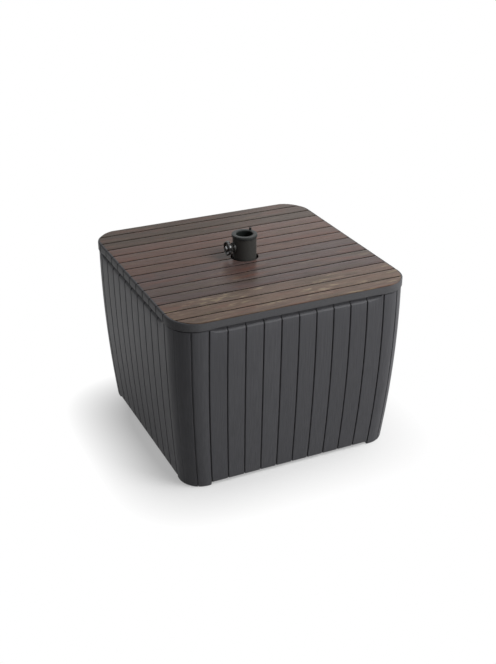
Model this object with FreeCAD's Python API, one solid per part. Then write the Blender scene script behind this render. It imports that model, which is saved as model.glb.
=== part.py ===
import FreeCAD, Part
import math
import os
from FreeCAD import Vector

# Square resin side table with a clamping sleeve for a parasol pole, in millimetres.
# +Z is up, the origin is on the ground under the middle, the front faces -Y and the clamp points to -X.

# Table top
deck_height = 425.0
lid_width = 570.0
lid_corner_radius = 66.5
rim_height = 20.5
rim_edge = 5.0
rim_edge_radius = 4.0
rim_wall = 16.0
rim_notch_depth = 2.0
lid_overhang = 2.0
deck_thickness = 9.0
carrier_thickness = 5.0
sleeve_gap = 5.0
locator_thickness = 8.0
locator_arm = 75.0
locator_drop = 16.0
locator_clearance = 2.0

# Planks, alike on the top and on the sides
plank_pitch = 42.0
groove_width = 3.0
groove_depth = 3.0

# Tapered body
side_taper = 22.5
side_bow = 5.5
foot_corner_radius = 52.0
wall = 9.0
lip_width = 22.0
lip_thickness = 5.0
grip_height = 7.0
grip_depth = 6.0
panel_gap = 0.5
seam_height = 2.0
seam_depth = 4.0
foot_height = 9.0
foot_chamfer = 5.0
shelf_height = 16.0
shelf_reach = 75.0
floor_thickness = 8.0
floor_screw_inset = 38.0

# Ballast blocks round the socket
block_height = 110.0
block_gap = 12.0
block_clearance = 8.0

# Socket and sleeve
pole_bore = 40.0
insert_wall = 6.35
tube_wall = 1.5
socket_wall = 2.0
socket_height = 160.0
flange_diameter = 150.0
flange_thickness = 4.0
bolt_circle = 120.0
bolt_count = 4
sleeve_stand = 57.0
collar_overhang = 2.0
collar_height = 7.0
collar_depth = 110.0
collar_edge_radius = 1.0
lug_angle = 36.0
lug_width = 5.0
lug_depth = 4.0
lug_rise = 5.5

# Clamp on the sleeve
clamp_drop = 23.0
clamp_travel = 3.0
pad_diameter = 12.0
pad_thickness = 5.0
pad_rest = 0.4
tip_diameter = 6.0
tip_length = 2.5
clamp_screw_diameter = 10.0
nut_flange_diameter = 24.0
nut_flange_height = 3.0
nut_across_flats = 17.0
nut_hex_height = 5.0
knob_diameter = 35.0
knob_rim = 4.5
knob_thickness = 7.2
knob_edge_radius = 1.5
knob_lobes = 6
scallop_diameter = 12.0
scallop_depth = 1.6
spoke_count = 3
spoke_width = 5.0
spoke_thickness = 3.0
hub_diameter = 15.0
hub_length = 7.0
cap_diameter = 11.0
cap_height = 2.2
cap_edge_radius = 1.2

# Fasteners
screw_shank = 4.0
screw_head = 8.0
screw_head_height = 2.5
screw_bite = 5.0
screw_web = 3.5
panel_screws_per_edge = 3
panel_screw_margin = 55.0
deck_screw_spacing = 200.0
bolt_diameter = 8.0
bolt_head_flats = 13.0
bolt_head_height = 5.3
bolt_nut_height = 6.5
bolt_end = 2.0

# Clearances
seat_clearance = 0.3
socket_clearance = 0.3
insert_clearance = 0.15
running_clearance = 0.05
hole_clearance = 0.4
end_clearance = 0.2

# Worked out from the sizes above
body_top = deck_height - rim_height
lid_half = lid_width / 2
body_half = lid_half - lid_overhang
body_corner_radius = lid_corner_radius - lid_overhang
joint_groove = int((body_half - body_corner_radius - groove_width) // plank_pitch)
outer_groove = joint_groove + 1
carrier_top = deck_height - deck_thickness
carrier_bottom = carrier_top - carrier_thickness
lip_outside = wall + seat_clearance
lip_inside = lip_outside + lip_thickness
floor_top = shelf_height + floor_thickness
flange_top = floor_top + flange_thickness
sleeve_top = deck_height + sleeve_stand
collar_bottom = sleeve_top - collar_height
clamp_level = collar_bottom - clamp_drop
tube_bore = pole_bore + 2 * (insert_wall + insert_clearance)
tube_radius = tube_bore / 2 + tube_wall
tube_diameter = 2 * tube_radius
sleeve_hole = tube_diameter + 2 * sleeve_gap
collar_diameter = tube_diameter + 2 * collar_overhang
pad_face = pole_bore / 2 + pad_rest
pad_back = pad_face + pad_thickness
nut_face = tube_radius + nut_flange_height + nut_hex_height
knob_face = nut_face + clamp_travel + end_clearance
hub_end = knob_face + hub_length
over = 5.0
reach = 2 * lid_width
up = Vector(0, 0, 1)
body_sections = 5


def drop(level):
    """How far a height lies below the body's top, as a share of the body's height."""
    return (body_top - level) / body_top


def half_width(level):
    """Half the body's width at a height: a straight taper plus a shallow parabolic bow."""
    share = drop(level)
    return body_half - side_taper * share + 4 * side_bow * share * (1 - share)


def corner_radius(level):
    """The section's corner radius, which falls evenly towards the feet."""
    return body_corner_radius + (foot_corner_radius - body_corner_radius) * drop(level)


def lean(level):
    """How far behind the table's axis the joint planes of the front meet at a height.

    At the feet each joint keeps its share of the face's flat stretch."""
    flat_share = (half_width(0) - foot_corner_radius) / (body_half - body_corner_radius)
    return (body_half * flat_share - half_width(0)) * drop(level)


def around(shape, quarter):
    """A copy turned by quarter turns about the table's axis."""
    turned = shape.copy()
    turned.rotate(Vector(0, 0, 0), up, 90 * quarter)
    return turned


def direction(angle):
    """Unit vector at an angle from the front, positive towards the right."""
    turn = math.radians(angle)
    return Vector(math.sin(turn), -math.cos(turn), 0)


def rounded_square(half, radius, level):
    """Closed outline of a square with round corners, centred on the axis."""
    straight = half - radius
    bulge = straight + radius * math.sqrt(0.5)
    edges = []
    for quarter in range(4):
        turn = FreeCAD.Rotation(up, 90 * quarter)
        start = turn.multVec(Vector(-straight, -half, 0))
        bend = turn.multVec(Vector(straight, -half, 0))
        middle = turn.multVec(Vector(bulge, -bulge, 0))
        end = turn.multVec(Vector(half, -straight, 0))
        edges.append(Part.LineSegment(start, bend).toShape())
        edges.append(Part.Arc(bend, middle, end).toShape())
    outline = Part.Wire(edges)
    outline.translate(Vector(0, 0, level))
    return outline


def plate(half, radius, low, high):
    """Rounded square plate between two heights."""
    return Part.Face(rounded_square(half, radius, low)).extrude(Vector(0, 0, high - low))


def prism(corners, low, high):
    """Upright prism on a polygon."""
    base = [Vector(corner.x, corner.y, low) for corner in corners]
    return Part.Face(Part.makePolygon(base + base[:1])).extrude(Vector(0, 0, high - low))


def post_round(diameter, low, high, x=0.0, y=0.0):
    """Upright cylinder."""
    return Part.makeCylinder(diameter / 2, high - low, Vector(x, y, low))


def rod(diameter, near, far):
    """Cylinder on the clamp's axis, between two distances from the sleeve's axis."""
    return Part.makeCylinder(diameter / 2, far - near, Vector(-near, 0, clamp_level), Vector(-1, 0, 0))


def hexagon(across_flats, base, axis, length):
    """Hexagonal prism from a base point along an axis."""
    ring = []
    for corner in range(6):
        turn = math.radians(60 * corner)
        ring.append(Vector(math.cos(turn), math.sin(turn), 0) * (across_flats / math.sqrt(3)))
    solid = prism(ring, 0, length)
    solid.Placement = FreeCAD.Placement(base, FreeCAD.Rotation(up, axis))
    return solid


def body_solid(inset, low=-over, high=body_top + over):
    """The body's tapered outer form, drawn in all round by an inset."""
    levels = [low + (high - low) * step / (body_sections - 1) for step in range(body_sections)]
    outlines = [rounded_square(half_width(z) - inset, corner_radius(z) - inset, z) for z in levels]
    return Part.makeLoft(outlines, True, False)


def face_wedge(angle, low, high, clearance=0.0):
    """Wedge towards the front between the joint planes at an angle to each side, drawn in by a clearance."""
    outlines = []
    for level in (low, high):
        apex = Vector(0, lean(level) - clearance / math.sin(math.radians(angle)), level)
        ends = [apex + direction(-angle) * reach, apex + direction(angle) * reach]
        outlines.append(Part.makePolygon([apex] + ends + [apex]))
    return Part.makeLoft(outlines, True, True)


def groove_angle(index):
    """Angle of an upright groove, stepped along the body's top section from the middle of a face.

    The planks are even on the face, and three equal ones go round each corner."""
    straight = body_half - body_corner_radius
    run = min(index, joint_groove) * plank_pitch
    if index > joint_groove:
        run += (2 * (straight - run) + body_corner_radius * math.pi / 2) / 3
    bend = max(run - straight, 0) / body_corner_radius
    across = min(run, straight) + body_corner_radius * math.sin(bend)
    out = straight + body_corner_radius * math.cos(bend)
    return math.degrees(math.atan2(across, out))


def cut_each(shape, cutters):
    """A shape with each cutter taken out of it in turn."""
    for cutter in cutters:
        shape = shape.cut(cutter)
    return shape


joint_angle = groove_angle(joint_groove)
lip_angle = math.degrees(math.atan(math.tan(math.radians(joint_angle)) - lip_width / body_half))
body_form = body_solid(0, 0, body_top)
groove_floor = body_solid(groove_depth)


def side_groove(angle):
    """Upright slot in the front's skin, in the joint plane at an angle."""
    along = direction(angle) * reach
    aside = direction(angle + 90) * (groove_width / 2)
    outlines = []
    for level in (-over, body_top + over):
        start = Vector(0, lean(level), level)
        ring = [start - aside, start + aside, start + aside + along, start - aside + along]
        outlines.append(Part.makePolygon(ring + ring[:1]))
    return Part.makeLoft(outlines, True, True).cut(groove_floor)


def panel_screw_levels():
    """Heights of the screws along one edge of a panel."""
    low = foot_height + panel_screw_margin
    high = body_top - panel_screw_margin
    steps = panel_screws_per_edge - 1
    return [low + (high - low) * step / steps for step in range(panel_screws_per_edge)]


def panel_screw_seat(side, level):
    """Centre of a screw head's seat on the lip behind the front panel."""
    across = (half_width(level) + lean(level)) * math.tan(math.radians(joint_angle)) - lip_width / 2
    return Vector(side * across, lip_outside + screw_web - half_width(level), level)


def pan_screw(seat, axis, grip):
    """Screw with a round head on its seat and a plain shank along an axis."""
    shank = Part.makeCylinder(screw_shank / 2, grip + screw_bite, seat, axis)
    head = Part.makeCylinder(screw_head / 2, screw_head_height, seat, axis * -1)
    return head.fuse(shank)


def screw_pilot(seat, axis, grip):
    """Hole that a screw's shank bites into."""
    depth = grip + screw_bite + end_clearance
    return Part.makeCylinder(screw_shank / 2 + running_clearance, depth, seat, axis)


def screw_passage(seat, axis, grip, open_depth):
    """Clearance hole through what a screw holds, with room for its head on the open side."""
    hole = Part.makeCylinder((screw_shank + hole_clearance) / 2, grip, seat, axis)
    room = Part.makeCylinder((screw_head + hole_clearance) / 2, open_depth, seat, axis * -1)
    return hole.fuse(room)


outwards = Vector(0, -1, 0)
panel_grip = screw_web + seat_clearance


def side_panel():
    """Front wall: upright planks between two corner posts, set back under the lid as a finger grip."""
    place = face_wedge(joint_angle, foot_height, body_top - panel_gap, seat_clearance)
    blank = body_form.common(place)
    cutters = [body_solid(wall)]
    for index in range(-joint_groove, joint_groove + 1):
        cutters.append(side_groove(math.copysign(groove_angle(abs(index)), index)))
    grip = plate(lid_half, lid_corner_radius, body_top - grip_height, body_top + over)
    cutters.append(grip.cut(body_solid(grip_depth)))
    for level in panel_screw_levels():
        for side in (-1, 1):
            cutters.append(screw_pilot(panel_screw_seat(side, level), outwards, panel_grip))
    return cut_each(blank, cutters)


def corner_post():
    """Front right corner: three planks wide, with lips behind the panels, a shelf over its foot and a
    shadow gap under the lid."""
    blank = body_form.common(Part.makeBox(reach, reach, body_top, Vector(0, -reach, 0)))
    shelf_start = half_width(0) - lip_inside - shelf_reach
    shelf = Part.makeBox(reach, reach, shelf_height + over, Vector(shelf_start, -shelf_start - reach, -over))
    cutters = [body_solid(lip_inside).cut(shelf)]
    behind_panels = body_solid(lip_outside, foot_height)
    beyond_lip = face_wedge(lip_angle, -over, body_top + over)
    panel_place = face_wedge(joint_angle, -over, body_top + over).cut(behind_panels)
    for quarter in (0, 1):
        cutters += [around(beyond_lip, quarter), around(panel_place, quarter)]
    for index in (joint_groove, outer_groove):
        cutters.append(side_groove(groove_angle(index)))
        cutters.append(around(side_groove(-groove_angle(index)), 1))
    cutters.append(foot_bevel())
    seam = plate(lid_half, lid_corner_radius, body_top - seam_height, body_top + over)
    cutters.append(seam.cut(body_solid(seam_depth)))
    for level in panel_screw_levels():
        for side, quarter in ((1, 0), (-1, 1)):
            passage = screw_passage(panel_screw_seat(side, level), outwards, panel_grip, shelf_reach)
            cutters.append(around(passage, quarter))
    cutters.append(screw_passage(floor_screw_seat(), up, shelf_height, shelf_height))
    return cut_each(blank, cutters)


def foot_bevel():
    """Ring that takes the feet's lower outer edge off at 45 degrees."""
    low = rounded_square(half_width(0) - foot_chamfer - over, corner_radius(0) - foot_chamfer - over, -over)
    high_level = foot_chamfer
    high = rounded_square(half_width(high_level), corner_radius(high_level), high_level)
    return plate(lid_half, lid_corner_radius, -over, high_level).cut(Part.makeLoft([low, high], True, True))


def floor_screw_seat():
    """Centre of a floor screw's head seat, inside the front right foot."""
    place = half_width(0) - lip_inside - floor_screw_inset
    return Vector(place, -place, shelf_height - screw_web)


def base_floor():
    """Floor plate on the posts' shelves, bolted to the socket's flange."""
    inset = lip_inside + seat_clearance
    level = shelf_height
    floor = plate(half_width(level) - inset, corner_radius(level) - inset, shelf_height, floor_top)
    cutters = [screw_pilot(around_point(floor_screw_seat(), quarter), up, screw_web) for quarter in range(4)]
    return floor.cut(cutters + bolt_holes())


def around_point(point, quarter):
    """A point turned by quarter turns about the table's axis."""
    return FreeCAD.Rotation(up, 90 * quarter).multVec(point)


def bolt_places():
    """Centres of the flange bolts, on a circle, between the table's sides."""
    return [direction(45 + 360 * turn / bolt_count) * (bolt_circle / 2) for turn in range(bolt_count)]


def bolt_holes():
    """Clearance holes for the flange bolts."""
    return [post_round(bolt_diameter + hole_clearance, 0, flange_top, p.x, p.y) for p in bolt_places()]


def floor_screws():
    """One screw up through each foot into the floor."""
    screw = pan_screw(floor_screw_seat(), up, screw_web)
    return Part.makeCompound([around(screw, quarter) for quarter in range(4)])


def panel_screws():
    """Screws from inside through the posts' lips into the panels."""
    row = []
    for level in panel_screw_levels():
        for side in (-1, 1):
            row.append(pan_screw(panel_screw_seat(side, level), outwards, panel_grip))
    return Part.makeCompound([around(screw, quarter) for quarter in range(4) for screw in row])


def ballast_block():
    """Front right weight: a quarter of the floor, cut back round the flange."""
    inset = lip_inside + block_clearance
    half = half_width(floor_top) - inset
    block = plate(half, corner_radius(floor_top) - inset, floor_top, floor_top + block_height)
    quarter = Part.makeBox(reach, reach, 2 * body_top, Vector(block_gap / 2, -block_gap / 2 - reach, 0))
    return block.common(quarter).cut(post_round(flange_diameter + 2 * block_clearance, 0, body_top))


def socket_flange():
    """Round foot plate of the socket, with bolt holes."""
    disc = post_round(flange_diameter, floor_top, flange_top)
    return disc.cut(bolt_holes())


def socket_tube():
    """Tube that the sleeve stands in."""
    bore = tube_diameter + 2 * socket_clearance
    top = flange_top + socket_height
    return post_round(bore + 2 * socket_wall, flange_top, top).cut(post_round(bore, 0, body_top))


def flange_bolts():
    """Hexagon bolts down through the flange and the floor."""
    bolts = []
    for place in bolt_places():
        end = shelf_height - bolt_nut_height - bolt_end
        head = hexagon(bolt_head_flats, Vector(place.x, place.y, flange_top), up, bolt_head_height)
        bolts.append(head.fuse(post_round(bolt_diameter, end, flange_top, place.x, place.y)))
    return Part.makeCompound(bolts)


def flange_nuts():
    """Nuts on the flange bolts, under the floor."""
    nuts = []
    for place in bolt_places():
        low = shelf_height - bolt_nut_height
        nut = hexagon(bolt_head_flats, Vector(place.x, place.y, low), up, bolt_nut_height)
        bore = bolt_diameter + 2 * running_clearance
        nuts.append(nut.cut(post_round(bore, 0, flange_top, place.x, place.y)))
    return Part.makeCompound(nuts)


def deck_groove_places():
    """Distances of the deck's grooves from its middle line."""
    return [index * plank_pitch for index in range(-outer_groove, outer_groove + 1)]


def deck_screw_seats():
    """Centres of the deck screws' head seats under the carrier plate."""
    steps = (-1, 0, 1)
    grid = [(i * deck_screw_spacing, j * deck_screw_spacing) for i in steps for j in steps if i or j]
    return [Vector(x, y, carrier_bottom) for x, y in grid]


def tabletop_deck():
    """Wood-look panel with grooves along X and the hole for the sleeve."""
    inset = rim_edge + seat_clearance
    deck = plate(lid_half - inset, lid_corner_radius - inset, carrier_top, deck_height)
    cutters = [post_round(sleeve_hole, 0, deck_height + over)]
    for place in deck_groove_places():
        corner = Vector(-lid_half, place - groove_width / 2, deck_height - groove_depth)
        cutters.append(Part.makeBox(lid_width, groove_width, 2 * groove_depth, corner))
    cutters += [screw_pilot(seat, up, carrier_thickness) for seat in deck_screw_seats()]
    return deck.cut(cutters)


def tabletop_frame():
    """Rim and carrier plate under the deck, notched on the left and right in line with the deck's grooves."""
    blank = plate(lid_half, lid_corner_radius, body_top, deck_height)
    top_edges = [edge for edge in blank.Edges if edge.BoundBox.ZMin > deck_height - rim_edge_radius]
    blank = blank.makeFillet(rim_edge_radius, top_edges)
    cutters = [plate(lid_half - rim_edge, lid_corner_radius - rim_edge, carrier_top, deck_height + over)]
    cutters.append(plate(lid_half - rim_wall, lid_corner_radius - rim_wall, body_top - over, carrier_bottom))
    cutters.append(post_round(sleeve_hole, 0, deck_height))
    notch_floor = deck_height - rim_notch_depth
    for place in deck_groove_places():
        corner = Vector(-lid_half, place - groove_width / 2, notch_floor)
        cutters.append(Part.makeBox(lid_width, groove_width, 2 * rim_notch_depth, corner))
        for side in (-1, 1):
            corner = Vector(side * lid_half - rim_notch_depth, place - groove_width / 2, body_top - over)
            cutters.append(Part.makeBox(2 * rim_notch_depth, groove_width, rim_height + 2 * over, corner))
    cutters += [screw_passage(seat, up, carrier_thickness, rim_height) for seat in deck_screw_seats()]
    return blank.cut(cutters)


def deck_screws():
    """Screws from below through the carrier plate into the deck."""
    return Part.makeCompound([pan_screw(seat, up, carrier_thickness) for seat in deck_screw_seats()])


def lid_locators():
    """Corner ribs under the carrier plate, which sit inside the posts."""
    inset = lip_inside + locator_clearance
    low = body_top - locator_drop
    ring = plate(body_half - inset, body_corner_radius - inset, low, carrier_bottom)
    inset += locator_thickness
    ring = ring.cut(plate(body_half - inset, body_corner_radius - inset, low - over, carrier_bottom + over))
    start = body_half - inset - locator_arm
    corner = Part.makeBox(reach, reach, 2 * body_top, Vector(start, -start - reach, 0))
    rib = ring.common(corner)
    return Part.makeCompound([around(rib, quarter) for quarter in range(4)])


def sleeve_tube():
    """Tube from the socket's floor up through the table top."""
    tube = post_round(tube_diameter, flange_top, collar_bottom)
    bore = post_round(tube_bore, 0, sleeve_top)
    return tube.cut([bore, rod(clamp_screw_diameter + 2 * hole_clearance, 0, reach)])


def sleeve_collar():
    """Ring on the tube's end with a long insert that the pole stands in, and a small lug at the back."""
    ring = post_round(collar_diameter, collar_bottom, sleeve_top)
    round_edges = [edge for edge in ring.Edges if edge.BoundBox.ZLength < end_clearance]
    ring = ring.makeFillet(collar_edge_radius, round_edges)
    insert_low = collar_bottom - collar_depth
    insert = post_round(pole_bore + 2 * insert_wall, insert_low, sleeve_top - collar_edge_radius)
    lug_start = collar_diameter / 2 - lug_depth
    corner = Vector(lug_start, -lug_width / 2, collar_bottom + collar_edge_radius)
    lug = Part.makeBox(lug_depth, lug_width, collar_height - collar_edge_radius + lug_rise, corner)
    lug.rotate(Vector(0, 0, 0), up, lug_angle)
    pad_hole = rod(pad_diameter + 2 * seat_clearance, 0, tube_radius)
    return ring.fuse([insert, lug]).cut([post_round(pole_bore, 0, sleeve_top + over), pad_hole])


def clamp_nut():
    """Flanged nut saddled on the tube."""
    flange = rod(nut_flange_diameter, 0, tube_radius + nut_flange_height)
    base = Vector(-tube_radius - nut_flange_height, 0, clamp_level)
    hexed = hexagon(nut_across_flats, base, Vector(-1, 0, 0), nut_hex_height)
    saddle = post_round(tube_diameter, 0, sleeve_top)
    return flange.fuse(hexed).cut([saddle, rod(clamp_screw_diameter + 2 * running_clearance, 0, reach)])


def clamp_pad():
    """Pressure pad with a blind hole for the screw's tip."""
    hole = rod(tip_diameter + 2 * running_clearance, pad_back - tip_length - end_clearance, pad_back)
    return rod(pad_diameter, pad_face, pad_back).cut(hole)


def clamp_screw():
    """Screw with a turned-down tip that carries the pad."""
    shoulder = pad_back + end_clearance
    tip = rod(tip_diameter, pad_back - tip_length, shoulder)
    return rod(clamp_screw_diameter, shoulder, hub_end).fuse(tip)


def clamp_knob():
    """Handwheel: a lobed rim on spokes round a hub."""
    rim = rod(knob_diameter, knob_face, knob_face + knob_thickness)
    rim = rim.cut(rod(knob_diameter - 2 * knob_rim, 0, reach))
    round_edges = [edge for edge in rim.Edges if edge.BoundBox.XLength < end_clearance]
    rim = rim.makeFillet(knob_edge_radius, round_edges)
    pieces = [rod(hub_diameter, knob_face, hub_end)]
    for turn in range(spoke_count):
        start = knob_face + (knob_thickness - spoke_thickness) / 2
        length = (knob_diameter - knob_rim) / 2
        corner = Vector(-start - spoke_thickness, -spoke_width / 2, clamp_level)
        spoke = Part.makeBox(spoke_thickness, spoke_width, length, corner)
        spoke.rotate(Vector(0, 0, clamp_level), Vector(1, 0, 0), 360 * turn / spoke_count)
        pieces.append(spoke)
    cutters = [rod(clamp_screw_diameter + 2 * running_clearance, 0, reach)]
    for lobe in range(knob_lobes):
        scallop = rod(scallop_diameter, 0, reach)
        scallop.translate(Vector(0, 0, (knob_diameter + scallop_diameter) / 2 - scallop_depth))
        scallop.rotate(Vector(0, 0, clamp_level), Vector(1, 0, 0), 360 * (lobe + 0.5) / knob_lobes)
        cutters.append(scallop)
    return rim.fuse(pieces).cut(cutters)


def knob_cap():
    """Domed cap on the handwheel's hub."""
    disc = rod(cap_diameter, hub_end, hub_end + cap_height)
    outer_edge = [edge for edge in disc.Edges if edge.BoundBox.XMax < -hub_end - cap_height / 2]
    return disc.makeFillet(cap_edge_radius, outer_edge)


pieces = {
    "tabletop_deck": tabletop_deck(),
    "tabletop_frame": tabletop_frame(),
    "deck_screws": deck_screws(),
    "lid_locators": lid_locators(),
    "base_floor": base_floor(),
    "floor_screws": floor_screws(),
    "panel_screws": panel_screws(),
    "socket_flange": socket_flange(),
    "socket_tube": socket_tube(),
    "flange_bolts": flange_bolts(),
    "flange_nuts": flange_nuts(),
    "sleeve_tube": sleeve_tube(),
    "sleeve_collar": sleeve_collar(),
    "clamp_nut": clamp_nut(),
    "clamp_pad": clamp_pad(),
    "clamp_screw": clamp_screw(),
    "clamp_knob": clamp_knob(),
    "knob_cap": knob_cap(),
}
panel = side_panel()
post = corner_post()
block = ballast_block()
for quarter, side in enumerate(("front", "right", "rear", "left")):
    pieces[side + "_panel"] = around(panel, quarter)
for quarter, corner in enumerate(("front_right", "rear_right", "rear_left", "front_left")):
    pieces["corner_post_" + corner] = around(post, quarter)
    pieces["ballast_block_" + corner] = around(block, quarter)

os.makedirs("parts", exist_ok=True)
for name, shape in pieces.items():
    shape.exportStep("parts/" + name + ".step")
    print(name, len(shape.Solids), round(shape.Volume / 1000, 2), shape.isValid())
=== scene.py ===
import bmesh
import bpy
import numpy as np
from mathutils import Matrix, Vector


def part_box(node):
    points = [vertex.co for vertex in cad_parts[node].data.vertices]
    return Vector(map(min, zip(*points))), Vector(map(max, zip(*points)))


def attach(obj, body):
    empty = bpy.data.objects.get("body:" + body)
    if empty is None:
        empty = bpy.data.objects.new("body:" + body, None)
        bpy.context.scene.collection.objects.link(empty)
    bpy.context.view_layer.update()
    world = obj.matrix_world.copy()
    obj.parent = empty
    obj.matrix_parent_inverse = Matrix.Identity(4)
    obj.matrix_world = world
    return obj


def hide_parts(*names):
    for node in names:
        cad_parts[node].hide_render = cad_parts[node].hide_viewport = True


# Square resin side table with a plank-pattern body, a wood-look lift-off top and a clamping
# sleeve for a pole. Metres, +Z up, the front faces -Y and the clamp points to -X.

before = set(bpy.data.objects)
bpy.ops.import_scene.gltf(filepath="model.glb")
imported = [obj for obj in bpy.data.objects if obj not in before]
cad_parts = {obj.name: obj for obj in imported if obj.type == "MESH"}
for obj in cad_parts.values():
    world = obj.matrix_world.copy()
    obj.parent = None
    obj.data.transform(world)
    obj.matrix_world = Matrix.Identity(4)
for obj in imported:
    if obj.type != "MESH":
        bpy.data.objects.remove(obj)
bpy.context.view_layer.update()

# Places taken from the frame
DECK_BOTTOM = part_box("tabletop_deck")[0].z
DECK_HALF, _, DECK_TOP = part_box("tabletop_deck")[1]
LID_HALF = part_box("tabletop_frame")[1].x
BODY_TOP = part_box("tabletop_frame")[0].z
PANEL_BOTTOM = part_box("front_panel")[0].z
PANEL_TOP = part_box("front_panel")[1].z
TUBE_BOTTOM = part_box("sleeve_tube")[0].z
TUBE_RADIUS, _, TUBE_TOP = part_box("sleeve_tube")[1]
INSERT_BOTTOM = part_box("sleeve_collar")[0].z
COLLAR_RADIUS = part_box("sleeve_collar")[1].x
NUT_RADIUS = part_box("clamp_nut")[1].y
NUT_END = -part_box("clamp_nut")[0].x
CLAMP_LEVEL = (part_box("clamp_nut")[0].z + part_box("clamp_nut")[1].z) / 2
SCREW_START = -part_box("clamp_screw")[1].x
SCREW_END = -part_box("clamp_screw")[0].x
KNOB_FACE = -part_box("clamp_knob")[1].x
KNOB_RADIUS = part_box("clamp_knob")[1].z - CLAMP_LEVEL
CAP_END = -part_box("knob_cap")[0].x
CAP_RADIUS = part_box("knob_cap")[1].y

# Table top
LID_CORNER = 0.0665
RIM_EDGE = 0.005
RIM_EDGE_RADIUS = 0.004
RIM_WALL = 0.016
RIM_FOOT_RADIUS = 0.0008
RIM_GRIP_RISE = 0.0018
RIM_GRIP_DEPTH = 0.008
RIM_SPACING = 0.007
NOTCH_DEPTH = 0.002
CARRIER_BOTTOM = DECK_BOTTOM - 0.005
DECK_LIP = 0.002
DECK_LIP_RADIUS = 0.0018
DECK_LIP_SHADE = 0.15
LIP_SEAT = DECK_TOP - DECK_LIP - 0.0002
HOLE_RADIUS = 0.033

# Planks
PLANK_PITCH = 0.042
JOINT = 5
OUTER = 6
CORNER_JOINTS = 4
DECK_TONES = (("#685447", 3), ("#504443", 4), ("#634a41", 4), ("#493a30", 3))
DECK_TONE_SPREAD = 0.1
DECK_GRAIN_SHIFT = 3
GROOVE_WIDTH = 0.003
GROOVE_DEPTH = 0.003
GROOVE_DRAFT = 0.0002
SHOULDER = 0.0011
FAINT_JOINT = 0.12
NEAR_JOINT = PLANK_PITCH / 8
DECK_SPACING = PLANK_PITCH / 4
PANEL_SPACING = PLANK_PITCH / 8

# Tapered body
LID_OVERHANG = 0.002
BODY_HALF = LID_HALF - LID_OVERHANG
BODY_CORNER = LID_CORNER - LID_OVERHANG
SIDE_TAPER = 0.0225
SIDE_BOW = 0.0055
FOOT_CORNER = 0.052
WALL = 0.009
SEAT_GAP = 0.0003
LIP_OUTSIDE = WALL + SEAT_GAP
LIP_INSIDE = LIP_OUTSIDE + 0.005
LIP_WIDTH = 0.022
POST_SPACING = 0.004
FOOT_RADIUS = 0.005
SEAM_HEIGHT = 0.002
SEAM_DEPTH = 0.004
SEAM_EDGE = 0.001
SHELF_TOP = 0.016
SHELF_REACH = 0.075
SHELF_INSET = LIP_INSIDE - FOOT_RADIUS / 4
PANEL_FOOT_RADIUS = 0.0015
GRIP_DROP = 0.0065
GRIP_DEPTH = 0.006
GRIP_SLOPE = 0.0055
GRIP_POWER = 1.5
GRIP_WALL = 0.0015
GRIP_FLAT = 0.176
GRIP_END = 0.206

# Sleeve and clamp
TUBE_WALL = 0.0015
COLLAR_TOP = DECK_TOP + 0.057
COLLAR_EDGE = 0.0012
SLEEVE_STEPS = 96
PAD_HOLE_RADIUS = 0.0063
SCREW_HOLE_RADIUS = 0.0054
HOLE_RINGS = 8
HOLE_RIM = 4
HOLE_STEP = 0.0015
HOLE_LEVELS = CLAMP_LEVEL + HOLE_STEP * np.arange(-HOLE_RINGS, HOLE_RINGS + 1)
BORE_RADIUS = 0.020
BORE_SHADE = 0.003
INSERT_RADIUS = 0.02635
LUG_ANGLE = np.radians(36)
LUG_SIZE = np.array([0.004, 0.005, 0.0115])
LUG_POWER = 0.28
NUT_FLANGE = 0.003
NUT_FLATS = 0.017
NUT_CHAMFER = 0.0008
NUT_CHAMFER_START = 0.75
NUT_CHAMFER_SLOPE = 3
THREAD_RADIUS = 0.005
THREAD_PITCH = 0.0015
THREAD_DEPTH = 0.0008
TIP_RADIUS = 0.003
SHOULDER_PLACE = SCREW_START + 0.0027
KNOB_RIM = 0.0045
KNOB_THICKNESS = 0.0072
KNOB_LOBES = 6
KNOB_POWER = 0.55
SCALLOP = 0.0016
HUB_RADIUS = 0.0075
HUB_EDGE = 0.001
HUB_END = CAP_END - 0.0022
SPOKES = 3
SPOKE_HALF = np.array([0.0025, 0.0015])
CAP_POWER = 0.6

# Points along curves
GROOVE_STEPS = 6
EDGE_STEPS = 7
SMALL_EDGE_STEPS = 5
GRIP_STEPS = 9
CAP_STEPS = 10
OUTLINE_STEPS = 49
ROW_STEPS = 13
WALL_STEPS = 18
INSIDE_STEPS = 33
KNOB_STEPS = 144
CAP_AROUND_STEPS = 64
SCREW_STEPS = 48
SECTION_STEPS = 24
SPOKE_STEPS = 5
STEPS_A_THREAD = 10

WELD = 2e-6
DIGITS = 6
SHARP_ANGLE = np.radians(38)
QUARTER = np.pi / 2
SIDES = ("front", "right", "rear", "left")
CORNERS = ("front_right", "rear_right", "rear_left", "front_left")
SEED = 42
draw = np.random.default_rng(SEED)


# Shapes

def quarter_turn(steps):
    """Even angles over a quarter circle, with both ends."""
    return np.linspace(0, QUARTER, steps)


def full_turn(steps):
    """Even angles round a circle, without the end."""
    return np.linspace(0, 2 * np.pi, steps, endpoint=False)


def soft(value, power):
    """A value whose size is raised to a power and whose sign is kept."""
    return np.sign(value) * np.abs(value) ** power


def quarter_run(half, radius):
    """Distance along a round-cornered square from the middle of one side to that of the next."""
    return 2 * (half - radius) + radius * QUARTER


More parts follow.
